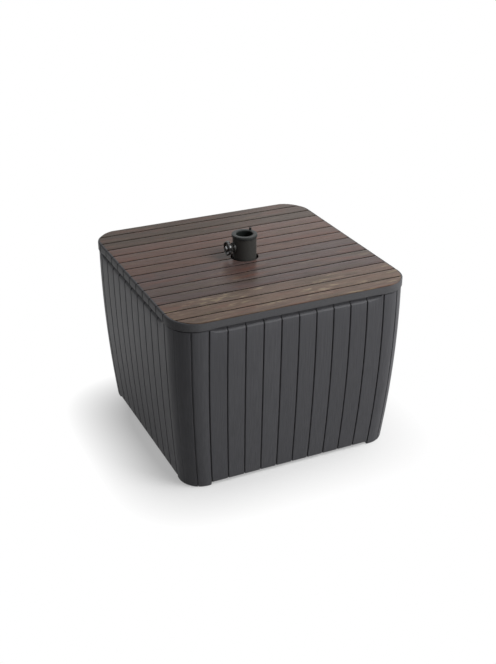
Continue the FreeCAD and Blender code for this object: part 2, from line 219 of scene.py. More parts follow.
def rounded_square(run, half, radius):
    """Plan points and outward normals of a square with round corners, at distances along it from
    the middle of its front: a straight stretch, then a quarter circle, and quarter turns of these."""
    straight = half - radius
    whole = quarter_run(half, radius)
    quarter = np.floor((run + straight) / whole)
    local = run + straight - quarter * whole
    bend = np.maximum(local - 2 * straight, 0) / radius
    x = np.minimum(local, 2 * straight) - straight + radius * np.sin(bend)
    y = -straight - radius * np.cos(bend)
    cos, sin = np.cos(quarter * QUARTER), np.sin(quarter * QUARTER)
    point = np.stack([x * cos - y * sin, x * sin + y * cos], axis=-1)
    across, out = np.sin(bend), np.cos(bend)
    normal = np.stack([across * cos + out * sin, across * sin - out * cos], axis=-1)
    return point, normal


def body_section(level):
    """Half the body's width and its corner radius at a height: the width has a straight taper plus
    a parabolic bow, and the radius falls evenly towards the feet."""
    share = (BODY_TOP - level) / BODY_TOP
    half = BODY_HALF - SIDE_TAPER * share + 4 * SIDE_BOW * share * (1 - share)
    return half, BODY_CORNER + (FOOT_CORNER - BODY_CORNER) * share


def body_points(run, level, depth):
    """Points on the body: the top outline's flat stretches and corners, each scaled to its size at
    that height, less a depth along the normal."""
    run, level, depth = np.broadcast_arrays(run, level, depth)
    point, normal = rounded_square(run, BODY_HALF, BODY_CORNER)
    half, corner = body_section(level)
    scale = (half - corner) / (BODY_HALF - BODY_CORNER)
    flat = scale[..., None] * (point - BODY_CORNER * normal)
    plan = flat + (corner - depth)[..., None] * normal
    return np.concatenate([plan, level[..., None]], axis=-1)


def groove_section():
    """Half the section of a plank joint as distances and depths: a flat floor, a steep wall, and a
    quarter circle that rounds out into the plank's face."""
    bend = quarter_turn(GROOVE_STEPS)
    distance = GROOVE_WIDTH / 2 + SHOULDER * (1 - np.cos(bend))
    depth = SHOULDER * (1 - np.sin(bend))
    floor = [0, GROOVE_WIDTH / 2 - GROOVE_DRAFT]
    return np.concatenate([floor, distance]), np.concatenate([np.full(2, GROOVE_DEPTH), depth])


def nearest(run, grooves):
    """Distance from each place along a run to the nearest joint."""
    return np.abs(run[:, None] - grooves).min(axis=1)


def groove_depth(run, grooves):
    """Depth of the joints along a run: the joint's section at the distance to the nearest one."""
    return np.interp(nearest(run, grooves), *groove_section())


def faint_share(run, grooves):
    """Share of the full depth along a run: small at the joints given, and one elsewhere."""
    return np.where(nearest(run, grooves) < NEAR_JOINT, FAINT_JOINT, 1)


def plank_runs(start, end, grooves, spacing):
    """Runs that sample a planked face: every point of each joint's section, and even steps between
    them."""
    offsets, _ = groove_section()
    near = (grooves[:, None] + np.concatenate([-offsets, offsets])).ravel()
    even = np.linspace(start, end, int(np.ceil((end - start) / spacing)) + 1)
    clear = nearest(even, grooves) > offsets[-1] + WELD
    runs = np.concatenate([near, even[clear], [start, end]])
    runs = runs[(runs >= start - WELD) & (runs <= end + WELD)]
    return np.unique(np.round(np.clip(runs, start, end), DIGITS))


def plank_values(run, low, high):
    """One random value for each plank along a run, drawn evenly between two ends."""
    index = np.floor(run / PLANK_PITCH).astype(int)
    return draw.uniform(low, high, index.max() - index.min() + 1)[index - index.min()]


def grip_fade(run):
    """Share of the finger grip's full size along a side: one over its length, and a quarter ellipse
    at its ends."""
    outside = np.clip((np.abs(run) - GRIP_FLAT) / (GRIP_END - GRIP_FLAT), 0, 1)
    return np.sqrt(1 - outside ** 2)


def skin(grid, closed_path=False, closed_profile=True):
    """Shell over a grid of points [path, profile]: a quad between neighbours and a face over each
    open end."""
    path, profile = grid.shape[:2]
    index = np.arange(path * profile).reshape(path, profile)
    if closed_path:
        index = np.concatenate([index, index[:1]])
    if closed_profile:
        index = np.concatenate([index, index[:, :1]], axis=1)
    quads = np.stack([index[:-1, :-1], index[:-1, 1:], index[1:, 1:], index[1:, :-1]], axis=-1)
    faces = quads.reshape(-1, 4).tolist()
    if not closed_path and closed_profile:
        faces += [index[0, :-1].tolist(), index[-1, :-1].tolist()]
    return grid.reshape(-1, 3), faces


def add_piece(name, shells, body, material, replaced, attributes=None):
    """One mesh at the origin from closed shells: doubles merged, faces outwards, smooth but for
    sharp edges."""
    points, faces, first = [], [], 0
    for shell_points, shell_faces in shells:
        points.append(shell_points)
        faces += [[corner + first for corner in face] for face in shell_faces]
        first += len(shell_points)
    mesh = bpy.data.meshes.new(name)
    mesh.from_pydata(np.concatenate(points), [], faces)
    for key, values in (attributes or {}).items():
        layer = mesh.attributes.new(key, "FLOAT", "POINT")
        layer.data.foreach_set("value", values.astype(np.float32).ravel())
    work = bmesh.new()
    work.from_mesh(mesh)
    bmesh.ops.remove_doubles(work, verts=work.verts, dist=WELD)
    bmesh.ops.recalc_face_normals(work, faces=work.faces)
    work.to_mesh(mesh)
    work.free()
    mesh.polygons.foreach_set("use_smooth", np.ones(len(mesh.polygons), bool))
    mesh.set_sharp_from_angle(angle=SHARP_ANGLE)
    mesh.materials.append(material)
    piece = bpy.data.objects.new(name, mesh)
    bpy.context.scene.collection.objects.link(piece)
    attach(piece, body)
    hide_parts(*replaced)


def turned(points, angle):
    """Points turned by an angle about the table's axis."""
    return points @ np.array(Matrix.Rotation(angle, 3, "Z")).T


# Table top

def deck_shell():
    """Plank top as a height over the plan. At each y a row runs from the outer edge to the hole, or
    to the middle line where there is no hole, sunk by the depth of the joints and rounded off at the
    front and rear. Its corners are quarter ellipses, and underneath a thin lip lies on the rim round
    a body that sits in the rim's pocket."""
    straight = LID_HALF - LID_CORNER
    corner = DECK_HALF - straight
    grooves = PLANK_PITCH * np.arange(-OUTER, OUTER + 1)
    bend = np.linspace(-QUARTER, QUARTER, OUTLINE_STEPS)
    ends = straight + corner * np.sin(bend[bend > 0])
    rows = plank_runs(-DECK_HALF, DECK_HALF, grooves, DECK_SPACING)
    inside = np.concatenate([rows, HOLE_RADIUS * np.sin(bend), ends, -ends])
    inside = np.unique(np.round(inside, DIGITS))
    rounding = LID_HALF - DECK_LIP_RADIUS * (1 - np.sin(quarter_turn(EDGE_STEPS)))
    rear = np.concatenate([[DECK_HALF], rounding])
    y = np.concatenate([-rear[::-1], inside, rear])
    on_rim = np.repeat([True, False, True], [len(rear), len(inside), len(rear)])
    past = np.maximum(np.abs(y) - straight, 0)
    edge = straight + corner * np.sqrt(np.maximum(1 - (past / LID_CORNER) ** 2, 0))
    seat = straight + np.sqrt(np.maximum(corner ** 2 - past ** 2, 0))
    hole = np.sqrt(np.maximum(HOLE_RADIUS ** 2 - y ** 2, 0))
    over_edge = np.maximum(np.abs(y) - LID_HALF + DECK_LIP_RADIUS, 0)
    round_off = DECK_LIP_RADIUS - np.sqrt(np.maximum(DECK_LIP_RADIUS ** 2 - over_edge ** 2, 0))
    depth = groove_depth(y, grooves)
    inwards = np.linspace(0, 1, ROW_STEPS)
    lip = DECK_TOP - DECK_LIP
    bottom = np.where(on_rim, lip, DECK_BOTTOM)
    x_top = edge[:, None] + (hole - edge)[:, None] * inwards
    z_top = (DECK_TOP - depth - round_off)[:, None] + 0 * x_top
    x = np.concatenate([x_top, np.stack([hole, seat, seat, edge], axis=1)], axis=1)
    under = np.stack([bottom, bottom, lip + 0 * y, lip + 0 * y], axis=1)
    z = np.concatenate([z_top, under], axis=1)
    right = np.stack([x, y[:, None] + 0 * x, z], axis=-1)
    open_hole = (hole[:-1] > 0) | (hole[1:] > 0)
    inner = ROW_STEPS - 1
    shells = []
    for side in (1, -1):
        points, faces = skin(right * [side, 1, 1])
        quads = np.array(faces[:-2]).reshape(len(y) - 1, x.shape[1], 4)
        keep = np.ones(quads.shape[:2], bool)
        keep[:, inner] = open_hole
        shells.append((points, quads[keep].tolist() + faces[-2:]))
    both = (2, x.shape[1])
    groups = np.linspace(0, 1, len(DECK_TONES))
    groups = np.repeat(groups, [planks for _, planks in DECK_TONES])
    plank = np.floor(y / PLANK_PITCH).astype(int)
    tone = groups[plank - plank.min()] + plank_values(y, -DECK_TONE_SPREAD, DECK_TONE_SPREAD)
    shift = plank_values(y, 0, DECK_GRAIN_SHIFT)
    # The lip's rounded edge at the front and rear is marked too, so that it is painted darker:
    # painted shade in the seam with the rim.
    shade = depth / GROOVE_DEPTH + DECK_LIP_SHADE * over_edge / DECK_LIP_RADIUS
    sunk = np.where(np.arange(x.shape[1]) > inner, 0, shade[:, None])
    values = {"tone": np.tile(tone[:, None], both), "shift": np.tile(shift[:, None], both),
              "sunk": np.tile(sunk, (2, 1))}
    return shells, values


def rim_shell():
    """Section of the lid's frame carried round the outline, from the foot, which rises over each
    finger grip, up the outer wall, over the rounded top edge, down to the seat of the deck's lip and
    into the deck's pocket, in to the hole and back underneath. The top edge stands by the square of
    the normal's x, so at the front and rear only the seat is left. Notches sink it along its own
    normal, and those on the round corners are only faint."""
    straight = LID_HALF - LID_CORNER
    quarter = quarter_run(LID_HALF, LID_CORNER)
    across = PLANK_PITCH * np.arange(-OUTER, OUTER + 1)
    bend = np.arcsin(np.clip((np.abs(across) - straight) / LID_CORNER, 0, 1))
    along = np.sign(across) * (np.minimum(np.abs(across), straight) + LID_CORNER * bend)
    notches = np.concatenate([quarter + along, 3 * quarter + along])
    on_corner = notches[np.abs(np.tile(across, 2)) > straight]
    run = plank_runs(0, 4 * quarter, notches, RIM_SPACING)[:-1]
    notch = groove_depth(run, notches) * faint_share(run, on_corner)
    notch = NOTCH_DEPTH * notch[:, None] / GROOVE_DEPTH
    point, normal = rounded_square(run, LID_HALF, LID_CORNER)
    stand = normal[:, :1] ** 2
    turn = quarter_turn(EDGE_STEPS)
    flat = np.ones_like(stand)
    top = LIP_SEAT + (DECK_TOP - LIP_SEAT) * stand
    from_middle = np.mod(run + quarter / 2, quarter) - quarter / 2
    foot = BODY_TOP + RIM_GRIP_RISE * grip_fade(from_middle)[:, None]
    inset = np.concatenate([
        RIM_GRIP_DEPTH * flat, RIM_GRIP_DEPTH * flat,
        RIM_FOOT_RADIUS * (1 - np.sin(turn)) * flat,
        RIM_EDGE_RADIUS * stand * (1 - np.cos(turn)),
        RIM_EDGE * stand, RIM_EDGE * stand, RIM_EDGE * flat, RIM_EDGE * flat,
        0 * flat, 0 * flat, RIM_WALL * flat, RIM_WALL * flat], axis=1)
    level = np.concatenate([
        BODY_TOP * flat, foot,
        foot + RIM_FOOT_RADIUS * (1 - np.cos(turn)),
        top - RIM_EDGE_RADIUS * stand * (1 - np.sin(turn)),
        top, LIP_SEAT * flat, LIP_SEAT * flat, DECK_BOTTOM * flat,
        DECK_BOTTOM * flat, CARRIER_BOTTOM * flat, CARRIER_BOTTOM * flat, BODY_TOP * flat], axis=1)
    rest = inset.shape[1] - 2 - 2 * len(turn)
    inwards = np.concatenate([np.zeros(2), np.ones(len(turn)), np.cos(turn), np.zeros(rest)])
    downwards = np.concatenate([np.zeros(2 + len(turn)), np.sin(turn), [1], np.zeros(rest - 1)])
    at_hole = np.zeros(inset.shape[1], bool)
    at_hole[-4:-2] = True
    rim = point[:, None] - (inset + notch * inwards)[..., None] * normal[:, None]
    hole = HOLE_RADIUS * point / np.linalg.norm(point, axis=-1, keepdims=True)
    plan = np.where(at_hole[:, None], hole[:, None], rim)
    height = level - notch * downwards
    sunk = (notch / NOTCH_DEPTH) * np.maximum(inwards, downwards)
    grid = np.concatenate([plan, height[..., None]], axis=-1)
    return skin(grid, closed_path=True), {"sunk": sunk}


# Body

def panel_shell():
    """Front wall: a closed section of heights and depths carried along the front. It has a rounded
    foot, the plank face, and under the lid a finger grip whose ledge slopes in and up along a
    quarter superellipse."""
    end = JOINT * PLANK_PITCH - SEAT_GAP
    grooves = PLANK_PITCH * np.arange(-JOINT, JOINT + 1)
    run = plank_runs(-end, end, grooves, PANEL_SPACING)[:, None]
    fade = grip_fade(run)
    ledge = np.minimum(PANEL_TOP - GRIP_DROP * fade, BODY_TOP - SEAM_HEIGHT)
    rise = np.maximum(GRIP_SLOPE * fade, SEAM_EDGE)
    reach = np.maximum(GRIP_DEPTH * fade, SEAM_EDGE)
    sink = np.maximum(GRIP_DEPTH * fade, SEAM_DEPTH)
    turn = quarter_turn(GRIP_STEPS)
    share = np.linspace(0, 1, WALL_STEPS)[1:-1]
    low, high = PANEL_BOTTOM + PANEL_FOOT_RADIUS, ledge - rise
    flat = np.ones_like(run)
    level = np.concatenate([
        PANEL_BOTTOM + PANEL_FOOT_RADIUS * (1 - np.cos(turn)) * flat,
        low + (high - low) * share,
        ledge - rise * (1 - np.sin(turn) ** GRIP_POWER),
        ledge, PANEL_TOP * flat, PANEL_TOP * flat,
        (PANEL_TOP + (PANEL_BOTTOM - PANEL_TOP) * share) * flat,
        PANEL_BOTTOM * flat], axis=1)
    front = np.concatenate([
        PANEL_FOOT_RADIUS * (1 - np.sin(turn)) * flat,
        0 * share * flat,
        reach * (1 - np.cos(turn) ** GRIP_POWER),
        sink, sink], axis=1)
    groove = groove_depth(run[:, 0], grooves)[:, None]
    back = np.full((len(run), len(share) + 2), WALL)
    depth = np.concatenate([np.minimum(front + groove, WALL - GRIP_WALL), back], axis=1)
    sunk = np.concatenate([np.tile(groove / GROOVE_DEPTH, front.shape[1]), 0 * back], axis=1)
    return skin(body_points(run, level, depth)), run, sunk


def post_loop(faint):
    """Plan section of a corner post as runs and depths: the planked skin, where one joint is only
    faint, then a step behind each panel to a lip, closed along the inside."""
    whole = quarter_run(BODY_HALF, BODY_CORNER)
    start, end = JOINT * PLANK_PITCH, whole - JOINT * PLANK_PITCH
    grooves = np.linspace(start, end, CORNER_JOINTS)
    run = plank_runs(start, end, grooves, POST_SPACING)
    inside = np.linspace(end + LIP_WIDTH, start - LIP_WIDTH, INSIDE_STEPS)
    runs = np.concatenate([run, [end, end + LIP_WIDTH], inside, [start - LIP_WIDTH, start]])
    groove = groove_depth(run, grooves) * faint_share(run, grooves[[faint]])
    step = np.full(2, LIP_OUTSIDE)
    depths = np.concatenate([groove, step, np.full(len(inside), LIP_INSIDE), step])
    outer = np.arange(len(runs)) < len(run)
    return runs, depths, outer, start, end


def post_shell(faint):
    """Front right corner: its plan section carried up the taper. The foot rounds in at the bottom
    by a quarter circle, the lips start above it, and the skin steps back under the lid."""
    runs, depths, outer, start, end = post_loop(faint)
    turn = quarter_turn(EDGE_STEPS)
    seam = BODY_TOP - SEAM_HEIGHT
    rise = np.linspace(PANEL_BOTTOM, seam - SEAM_EDGE, WALL_STEPS)
    top = turn[1:]
    level = np.concatenate([FOOT_RADIUS * (1 - np.cos(turn)), [PANEL_BOTTOM], rise,
                            seam - SEAM_EDGE * (1 - np.sin(top)), [seam, BODY_TOP]])[:, None]
    draw_in = np.concatenate([FOOT_RADIUS * (1 - np.sin(turn)), [0], 0 * rise,
                              SEAM_EDGE * (1 - np.cos(top)), [0, 0]])[:, None]
    step_in = np.where(np.arange(len(level)) >= len(level) - 2, SEAM_DEPTH, 0)[:, None]
    footed = np.arange(len(level))[:, None] <= len(turn)
    clipped = np.clip(runs, start + draw_in, end - draw_in)
    run = np.where(footed, clipped, runs)
    depth = np.maximum(depths + draw_in * outer, step_in * outer)
    sunk = np.broadcast_to(np.where(outer, depths / GROOVE_DEPTH, 0), depth.shape)
    return skin(body_points(run, level, depth)), run, sunk


def shelf_shell():
    """Floor of a foot: the corner inside the post between the ground and the shelf, on two straight
    inner edges."""
    whole = quarter_run(BODY_HALF, BODY_CORNER)
    half, radius = body_section(0)
    place = half - LIP_INSIDE - SHELF_REACH
    reach = place * (BODY_HALF - BODY_CORNER) / (half - radius)
    run = np.linspace(reach, whole - reach, INSIDE_STEPS)
    level = np.array([0, SHELF_TOP])[:, None]
    outside = body_points(run, level, SHELF_INSET)
    corner = np.concatenate([np.tile([place, -place], (2, 1)), level], axis=-1)[:, None]
    return skin(np.concatenate([outside, corner], axis=1))


# Sleeve and clamp

def pierced(radius, level, hole):
    """A closed section of radii and heights carried round the sleeve's axis, with a round hole
    through its wall towards the clamp. There the grid's square rings of points pass into circles
    about the clamp's axis, the cells inside the smallest circle are left out, and its rims on the
    outer and inner face are joined."""
    angle = full_turn(SLEEVE_STEPS)[:, None]
    grid = np.stack([radius * np.cos(angle), radius * np.sin(angle), level + 0 * angle], axis=-1)
    steps = np.arange(-HOLE_RINGS, HOLE_RINGS + 1)
    column = SLEEVE_STEPS // 2 + steps
    rows = np.flatnonzero(np.isin(level, HOLE_LEVELS)).reshape(2, -1)
    outer, inner = rows[0], rows[1, ::-1]
    across, rise = np.meshgrid(steps, steps, indexing="ij")
    ring = np.maximum(np.maximum(np.abs(across), np.abs(rise)), 1)
    share = np.clip((ring - HOLE_RIM) / (HOLE_RINGS - HOLE_RIM), 0, 1)
    length = np.maximum(np.hypot(across, rise), 1)
    square_half = HOLE_LEVELS[-1] - CLAMP_LEVEL
    for row in (outer, inner):
        wall = radius[row[0]]
        edge = wall * np.sin(across / ring * HOLE_RINGS * angle[1])
        y = share * edge + (1 - share) * hole * across / length
        z = share * rise / ring * square_half + (1 - share) * hole * rise / length
        x = -np.sqrt(wall ** 2 - y ** 2)
        grid[column[:, None], row] = np.stack([x, -y, CLAMP_LEVEL + z], axis=-1)
    index = np.arange(grid[..., 0].size).reshape(grid.shape[:2])
    near, far = index, np.roll(index, -1, axis=0)
    quads = np.stack([near, np.roll(near, -1, axis=1), np.roll(far, -1, axis=1), far], axis=-1)
    kept = np.ones(index.shape, bool)
    inside = slice(HOLE_RINGS - HOLE_RIM, HOLE_RINGS + HOLE_RIM)
    for row in rows:
        kept[column[inside, None], row[inside]] = False
    side = np.arange(-HOLE_RIM, HOLE_RIM)
    turn = np.concatenate([side, 0 * side + HOLE_RIM, -side, 0 * side - HOLE_RIM]) + HOLE_RINGS
    climb = np.roll(turn, 2 * HOLE_RIM)
    rims = [index[column[turn], row[climb]] for row in (outer, inner)]
    joined = np.stack([rims[0], np.roll(rims[0], -1), np.roll(rims[1], -1), rims[1]], axis=-1)
    used, faces = np.unique(np.concatenate([quads[kept], joined]), return_inverse=True)
    return grid.reshape(-1, 3)[used], faces.reshape(-1, 4).tolist(), used


def on_clamp(distance, radius, angle):
    """Points about the clamp's axis, which leaves the sleeve towards -X."""
    distance, radius, angle = np.broadcast_arrays(distance, radius, angle)
    height = CLAMP_LEVEL + radius * np.sin(angle)
    return np.stack([-distance, radius * np.cos(angle), height], axis=-1)


def block_shell(centre, half):
    """Rounded block as a superellipsoid: cosines and sines of two angles, raised to a low power,
    times its half sizes."""
    around = full_turn(SECTION_STEPS)[:, None]
    upwards = np.linspace(-QUARTER, QUARTER, SECTION_STEPS // 2 + 1)
    ring = soft(np.cos(upwards), LUG_POWER)
    x = ring * soft(np.cos(around), LUG_POWER)
    y = ring * soft(np.sin(around), LUG_POWER)
    z = soft(np.sin(upwards), LUG_POWER) + 0 * around
    unit = np.stack([x, y, z], axis=-1)
    return skin(centre + unit * half, closed_path=True, closed_profile=False)


def tube_shell():
    """Plain tube from the socket up to the collar, with a hole for the clamp's screw."""
    level = np.concatenate([[TUBE_BOTTOM], HOLE_LEVELS, [TUBE_TOP]])
    radius = np.repeat([TUBE_RADIUS, TUBE_RADIUS - TUBE_WALL], len(level))
    return pierced(radius, np.concatenate([level, level[::-1]]), SCREW_HOLE_RADIUS)[:2]


def collar_shells():
    """Ring with rounded edges on a long insert with a hole for the pad, its bore marked as sunk so
    that it is painted near black as shade, and a small lug on the ring at the back."""
    turn = quarter_turn(SMALL_EDGE_STEPS)
    across, out = COLLAR_EDGE * (1 - np.cos(turn)), COLLAR_EDGE * (1 - np.sin(turn))
    outside = np.concatenate([[INSERT_BOTTOM], HOLE_LEVELS, [TUBE_TOP]])
    bore_top = COLLAR_TOP - COLLAR_EDGE - BORE_SHADE
    bore = np.concatenate([[bore_top], HOLE_LEVELS[::-1], [INSERT_BOTTOM]])
    radius = np.concatenate([0 * outside + INSERT_RADIUS, COLLAR_RADIUS - out, COLLAR_RADIUS - across,
                             BORE_RADIUS + out, 0 * bore + BORE_RADIUS])
    level = np.concatenate([outside, TUBE_TOP + across, COLLAR_TOP - out, COLLAR_TOP - across, bore])
    ring, ring_faces, used = pierced(radius, level, PAD_HOLE_RADIUS)
    # The bore below the ring's rounded edge is marked, so that it is painted near black: painted
    # shade inside the sleeve.
    in_bore = (radius <= BORE_RADIUS) & (level < COLLAR_TOP - BORE_SHADE)
    half = LUG_SIZE / 2
    lug_place = np.array([COLLAR_RADIUS - half[0], 0, TUBE_TOP + COLLAR_EDGE + half[2]])
    lug, lug_faces = block_shell(lug_place, half)
    sunk = np.concatenate([np.tile(in_bore, SLEEVE_STEPS)[used], np.zeros(len(lug))])
    return [(ring, ring_faces), (turned(lug, LUG_ANGLE), lug_faces)], {"sunk": sunk}


def nut_shell():
    """Flanged nut: its near face follows the tube, so its distance is the root of the tube's radius
    squared less the offset squared; its hexagon is the flat's distance over the cosine of the angle
    from it."""
    angle = full_turn(KNOB_STEPS)[:, None]
    sixth = np.pi / 3
    offset = np.mod(angle + sixth / 2, sixth) - sixth / 2
    hexagon = NUT_FLATS / 2 / np.cos(offset)
    bore = THREAD_RADIUS + 0 * angle
    flange = NUT_RADIUS + 0 * angle
    top = NUT_FLATS / 2 - NUT_CHAMFER / 2 + 0 * angle
    face = TUBE_RADIUS + NUT_FLANGE
    fall = NUT_CHAMFER * (hexagon / NUT_FLATS * 2 - NUT_CHAMFER_START) * NUT_CHAMFER_SLOPE

    def saddle(radius):
        return np.sqrt(TUBE_RADIUS ** 2 - (radius * np.cos(angle)) ** 2)
    section = [(bore, saddle(bore)), (flange, saddle(flange)), (flange, face - NUT_CHAMFER),
               (flange - NUT_CHAMFER, face), (hexagon, face), (hexagon, NUT_END - fall),
               (top, NUT_END), (bore, NUT_END)]
    radius = np.concatenate([r for r, _ in section], axis=1)
    distance = np.concatenate([d + 0 * angle for _, d in section], axis=1)
    return skin(on_clamp(distance, radius, angle), closed_path=True)


def screw_shell():
    """Threaded rod: the radius falls from crest to root and back along the axis, and the phase
    advances by one pitch a turn, so it winds; a plain tip carries the pad."""
    angle = full_turn(SCREW_STEPS)[:, None]
    steps = int((SCREW_END - SHOULDER_PLACE) / THREAD_PITCH * STEPS_A_THREAD)
    distance = np.linspace(SHOULDER_PLACE, SCREW_END, steps)
    phase = np.mod(distance / THREAD_PITCH - angle / (2 * np.pi), 1)
    thread = THREAD_RADIUS - THREAD_DEPTH * (1 - np.abs(2 * phase - 1))
    tip = np.array([0, TIP_RADIUS, TIP_RADIUS]) + 0 * angle
    radius = np.concatenate([tip, thread, 0 * angle], axis=1)
    lead = [SCREW_START, SCREW_START, SHOULDER_PLACE]
    distance = np.concatenate([lead, distance, [SCREW_END]])
    return skin(on_clamp(distance, radius, angle), closed_path=True, closed_profile=False)


def knob_shells():
    """Handwheel: a rim whose section is a rounded rectangle and whose outer radius dips between the
    lobes, flat spokes, and a hub with rounded ends."""
    angle = full_turn(KNOB_STEPS)[:, None]
    around = full_turn(SECTION_STEPS)
    cos, sin = np.cos(around), np.sin(around)
    across = soft(cos, KNOB_POWER) * KNOB_RIM / 2
    along = soft(sin, KNOB_POWER) * KNOB_THICKNESS / 2
    dip = SCALLOP * (0.5 - 0.5 * np.cos(KNOB_LOBES * (angle - QUARTER))) ** 2
    middle = KNOB_RADIUS - KNOB_RIM / 2
    rim_place = KNOB_FACE + KNOB_THICKNESS / 2
    rim_radius = middle + across - dip * np.clip(0.5 + cos, 0, 1)
    rim = skin(on_clamp(rim_place + along, rim_radius, angle), closed_path=True)
    turn = quarter_turn(SMALL_EDGE_STEPS)
    inset, rise = HUB_EDGE * (1 - np.sin(turn)), HUB_EDGE * (1 - np.cos(turn))
    radius = np.concatenate([[0], HUB_RADIUS - inset, HUB_RADIUS - inset[::-1], [0]])
    place = np.concatenate([[KNOB_FACE], KNOB_FACE + rise, HUB_END - rise[::-1], [HUB_END]])
    hub = skin(on_clamp(place, radius, angle), closed_path=True, closed_profile=False)
    shells = [rim, hub]
    length = np.linspace(HUB_RADIUS / 2, middle, SPOKE_STEPS)[:, None]
    width, thick = SPOKE_HALF[0] * cos, SPOKE_HALF[1] * sin
    for spoke in range(SPOKES):
        way = QUARTER + 2 * np.pi * spoke / SPOKES
        y = length * np.cos(way) - width * np.sin(way)
        z = length * np.sin(way) + width * np.cos(way)
        points = np.stack([-rim_place - thick + 0 * y, y, CLAMP_LEVEL + z], axis=-1)
        shells.append(skin(points))
    return shells


def cap_shell():
    """Domed cap: a quarter of a superellipse turned about the clamp's axis."""
    angle = full_turn(CAP_AROUND_STEPS)[:, None]
    turn = quarter_turn(CAP_STEPS)
    height = CAP_END - HUB_END
    radius = np.concatenate([[0], CAP_RADIUS * np.cos(turn) ** CAP_POWER])
    place = np.concatenate([[HUB_END], HUB_END + height * np.sin(turn)])
    return skin(on_clamp(place, radius, angle), closed_path=True, closed_profile=False)


# Materials

RUSSET = "#6d4639"
OLIVE = "#4c4233"
DARK_STREAK = "#2a211d"
PORE = "#261e1b"
PALE_STREAK = "#8f8067"
# Tone of the dark joints, also painted on the deck lip's rounded edge as painted shade.
DECK_JOINT_AND_LIP_SHADE = "#120f0d"
GRAPHITE = ("#515154", "#57575a")
GRAPHITE_STREAK = "#424245"
GRAPHITE_JOINT = "#4f4f52"

# Sizes of the grain along X, Y and Z
DRIFT_SIZE = (0.09, 0.02, 0.02)
STREAK_SIZE = (0.06, 0.0028, 0.0028)
PORE_SIZE = (0.03, 0.0018, 0.0018)
PALE_SIZE = (0.05, 0.010, 0.010)
UPRIGHT_SIZE = (0.0028, 0.0028, 0.09)

# Depths of the grain's relief
DECK_RELIEF = 0.00015
BODY_RELIEF = 0.0004

# Range of the mark for sunk places over which a finish passes to its hollow's tone
HOLLOW_RANGE = (0.15, 0.8, 0, 1)


def colour(code):
    """Linear colour of an sRGB hex value."""
    value = np.array([int(code[i:i + 2], 16) for i in (1, 3, 5)]) / 255
    linear = np.where(value <= 0.04045, value / 12.92, ((value + 0.055) / 1.055) ** 2.4)
    return (*linear.tolist(), 1.0)


def add_node(tree, kind, inputs=None, **settings):
    """Adds a shader node, sets its properties, and fills its sockets with values or with other
    nodes' outputs."""
    made = tree.nodes.new("ShaderNode" + kind)
    for key, value in settings.items():
        setattr(made, key, value)
    for key, value in (inputs or {}).items():
        if isinstance(value, bpy.types.NodeSocket):
            tree.links.new(value, made.inputs[key])
        else:
            made.inputs[key].default_value = value
    return made


def new_material(name, **sockets):
    """A material with one principled shader whose sockets hold the values given."""
    made = bpy.data.materials.new(name)
    made.use_nodes = True
    shader = made.node_tree.nodes["Principled BSDF"]
    for key, value in sockets.items():
        shader.inputs[key.replace("_", " ")].default_value = value
    return made, made.node_tree, shader


def combined(tree, operation, first, second):
    """Two numbers combined by an operation."""
    return add_node(tree, "Math", {0: first, 1: second}, operation=operation).outputs[0]


def combined_vector(tree, operation, first, second):
    """Two vectors combined by an operation."""
    return add_node(tree, "VectorMath", {0: first, 1: second}, operation=operation).outputs[0]


def grain(tree, size, shift=None, detail=3.0, rough=0.55):
    """Noise stretched to streaks of a given size in metres along X, Y and Z."""
    place = add_node(tree, "TexCoord").outputs["Object"]
    if shift is not None:
        moved = add_node(tree, "CombineXYZ", {"X": shift}).outputs[0]
        place = combined_vector(tree, "ADD", place, moved)
    place = combined_vector(tree, "MULTIPLY", place, [1 / length for length in size])
    inputs = {"Vector": place, "Scale": 1.0, "Detail": detail, "Roughness": rough}
    return add_node(tree, "TexNoise", inputs).outputs[0]


def mapped(tree, value, low, high, to_low, to_high):
    """A value carried from one range to another, held at the ends."""
    inputs = {"Value": value, "From Min": low, "From Max": high, "To Min": to_low, "To Max": to_high}
    return add_node(tree, "MapRange", inputs).outputs[0]


def mixed(tree, factor, first, second):
    """Two colours mixed by a factor."""
    return add_node(tree, "Mix", {0: factor, 6: first, 7: second}, data_type="RGBA").outputs[2]


def bumped(tree, shader, height, depth):
    """Relief of a given depth in metres on a shader."""
    bump = add_node(tree, "Bump", {"Height": height, "Strength": 1.0, "Distance": depth})
    tree.links.new(bump.outputs[0], shader.inputs["Normal"])


def attribute(tree, name):
    """A float that the mesh carries at its points."""
    return add_node(tree, "Attribute", attribute_name=name).outputs["Fac"]


